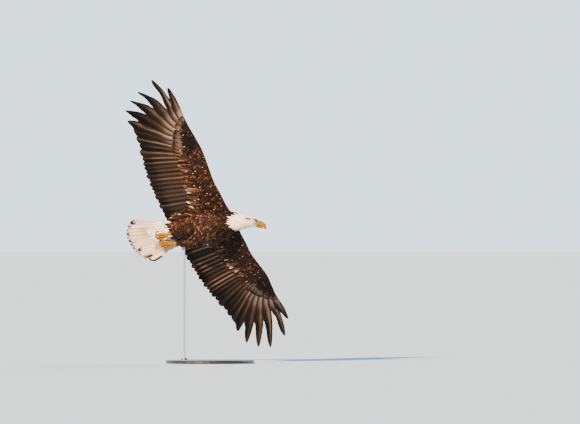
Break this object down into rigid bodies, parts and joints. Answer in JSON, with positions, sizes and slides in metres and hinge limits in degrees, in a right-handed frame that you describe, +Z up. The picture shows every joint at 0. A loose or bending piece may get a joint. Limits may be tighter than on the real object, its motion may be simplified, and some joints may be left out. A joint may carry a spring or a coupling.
{
  "type": "bald eagle model",
  "caption": "Life-size still model of an adult bald eagle banking in flight with spread wings and fanned tail, held by a plain rod on a round base.",
  "frame": {"origin": "centre of the underside of the stand's round base, on the floor", "axes": "+Z up; +X towards the bird's head side, the bird heading 24 degrees from +X towards -Y; -Y towards the viewer, who sees the bird's underside"},
  "size_m": [0.9521, 1.0964, 1.6623],
  "materials": {
    "brown_plumage": "dark brown body and covert feathers with warmer edges",
    "flight_feathers": "greyish brown flight feathers, dark at the tips",
    "white_plumage": "white to cream feathers",
    "bill_horn": "smooth yellow horn",
    "foot_skin": "yellow scaly skin",
    "claw_horn": "black polished horn",
    "eye": "glossy pale yellow eye",
    "stand_plinth": "satin black paint",
    "stand_steel": "satin steel rod and collar"
  },
  "bodies": {
    "root": {"head": "white_plumage", "neck": "white_plumage", "trunk": "brown_plumage", "tail_coverts": "white_plumage", "tail_feathers": "white_plumage", "cere": "foot_skin", "bill_upper": "bill_horn", "bill_lower": "bill_horn", "eye_left": "eye", "eye_right": "eye", "wing_left_upper_arm": "brown_plumage", "wing_left_forearm": "brown_plumage", "wing_left_hand": "brown_plumage", "wing_left_secondaries": "flight_feathers", "wing_left_inner_primaries": "flight_feathers", "wing_left_primary_10": "flight_feathers", "wing_left_primary_09": "flight_feathers", "wing_left_primary_08": "flight_feathers", "wing_left_primary_07": "flight_feathers", "wing_left_primary_06": "flight_feathers", "wing_left_primary_05": "flight_feathers", "thigh_left": "brown_plumage", "tarsus_left": "foot_skin", "toe_left_inner": "foot_skin", "claw_left_inner": "claw_horn", "toe_left_middle": "foot_skin", "claw_left_middle": "claw_horn", "toe_left_outer": "foot_skin", "claw_left_outer": "claw_horn", "toe_left_hind": "foot_skin", "claw_left_hind": "claw_horn", "wing_right_upper_arm": "brown_plumage", "wing_right_forearm": "brown_plumage", "wing_right_hand": "brown_plumage", "wing_right_secondaries": "flight_feathers", "wing_right_inner_primaries": "flight_feathers", "wing_right_primary_10": "flight_feathers", "wing_right_primary_09": "flight_feathers", "wing_right_primary_08": "flight_feathers", "wing_right_primary_07": "flight_feathers", "wing_right_primary_06": "flight_feathers", "wing_right_primary_05": "flight_feathers", "thigh_right": "brown_plumage", "tarsus_right": "foot_skin", "toe_right_inner": "foot_skin", "claw_right_inner": "claw_horn", "toe_right_middle": "foot_skin", "claw_right_middle": "claw_horn", "toe_right_outer": "foot_skin", "claw_right_outer": "claw_horn", "toe_right_hind": "foot_skin", "claw_right_hind": "claw_horn", "stand_base": "stand_plinth", "stand_collar": "stand_steel", "stand_rod": "stand_steel"}
  },
  "joints": []
}
